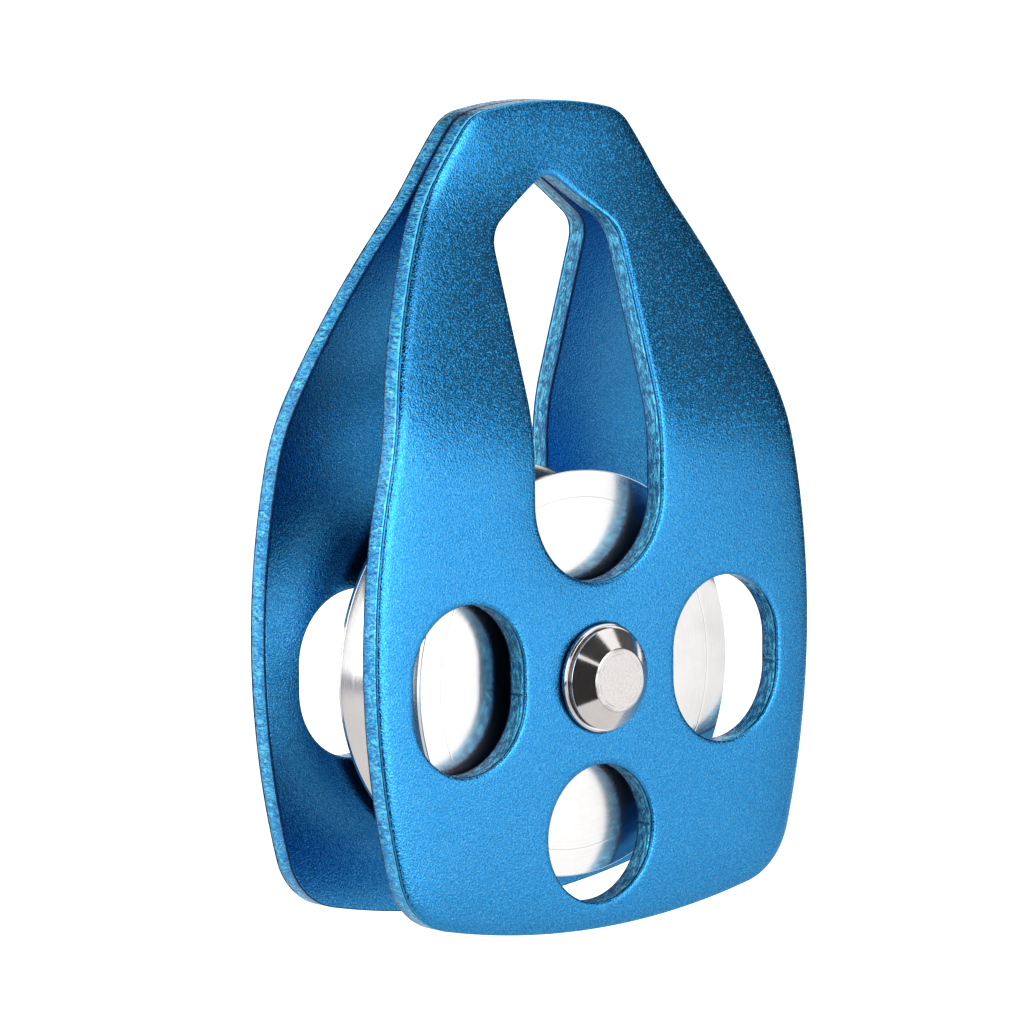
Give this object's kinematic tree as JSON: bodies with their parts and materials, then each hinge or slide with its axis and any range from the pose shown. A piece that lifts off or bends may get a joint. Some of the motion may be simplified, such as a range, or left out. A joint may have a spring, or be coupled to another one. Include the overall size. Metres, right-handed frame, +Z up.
{
  "type": "rope pulley",
  "caption": "Swing-cheek rope pulley: bent side plates that share a connector slot, with round and oblong openings, and a grooved wheel on ball bearings.",
  "frame": {"origin": "centre of the axle on the mid-plane between the two side plates", "axes": "+Y along the axle towards the rear plate, +Z up to the connector slot, +X across the plates"},
  "size_m": [0.0926, 0.0414, 0.1331],
  "materials": {
    "plate_blue": "bead-blasted, satin blue anodised",
    "wheel_alloy": "fine turned, bright",
    "axle_steel": "turned stainless, polished",
    "bearing_steel": "ground bearing steel",
    "spring_steel": "phosphated spring steel",
    "bush_bronze": "sintered bronze",
    "cage_nylon": "moulded nylon",
    "seal_rubber": "moulded rubber"
  },
  "bodies": {
    "rear_plate": {"rear_side_plate": "plate_blue", "rear_plate_bush": "bush_bronze"},
    "axle": {"axle_pin": "axle_steel", "rear_axle_head": "axle_steel", "front_outer_washer": "axle_steel", "rear_outer_washer": "axle_steel", "front_inner_spacer": "axle_steel", "rear_inner_spacer": "axle_steel", "front_bearing_inner_race": "bearing_steel", "rear_bearing_inner_race": "bearing_steel"},
    "front_plate": {"front_side_plate": "plate_blue", "front_plate_bush": "bush_bronze"},
    "wheel": {"sheave": "wheel_alloy", "front_circlip": "spring_steel", "rear_circlip": "spring_steel", "front_bearing_outer_race": "bearing_steel", "rear_bearing_outer_race": "bearing_steel", "front_bearing_outboard_seal": "seal_rubber", "front_bearing_inboard_seal": "seal_rubber", "rear_bearing_outboard_seal": "seal_rubber", "rear_bearing_inboard_seal": "seal_rubber"},
    "front_ball_set": {"front_bearing_balls": "bearing_steel", "front_bearing_cage": "cage_nylon"},
    "rear_ball_set": {"rear_bearing_balls": "bearing_steel", "rear_bearing_cage": "cage_nylon"}
  },
  "joints": [
    {"name": "axle_turn", "type": "hinge", "parent": "rear_plate", "child": "axle", "pos_m": [0, 0, 0], "axis": [0, 1, 0], "continuous": true},
    {"name": "front_plate_swing", "type": "hinge", "parent": "axle", "child": "front_plate", "pos_m": [0, 0, 0], "axis": [0, 1, 0], "continuous": true},
    {"name": "sheave_spin", "type": "hinge", "parent": "axle", "child": "wheel", "pos_m": [0, 0, 0], "axis": [0, 1, 0], "continuous": true},
    {"name": "front_balls_roll", "type": "hinge", "parent": "axle", "child": "front_ball_set", "pos_m": [0, -0.004, 0], "axis": [0, 1, 0], "continuous": true},
    {"name": "rear_balls_roll", "type": "hinge", "parent": "axle", "child": "rear_ball_set", "pos_m": [0, 0.004, 0], "axis": [0, 1, 0], "continuous": true}
  ],
  "couplings": [
    {"joint": "front_balls_roll", "follows": "sheave_spin", "ratio": 0.615},
    {"joint": "rear_balls_roll", "follows": "sheave_spin", "ratio": 0.615}
  ]
}
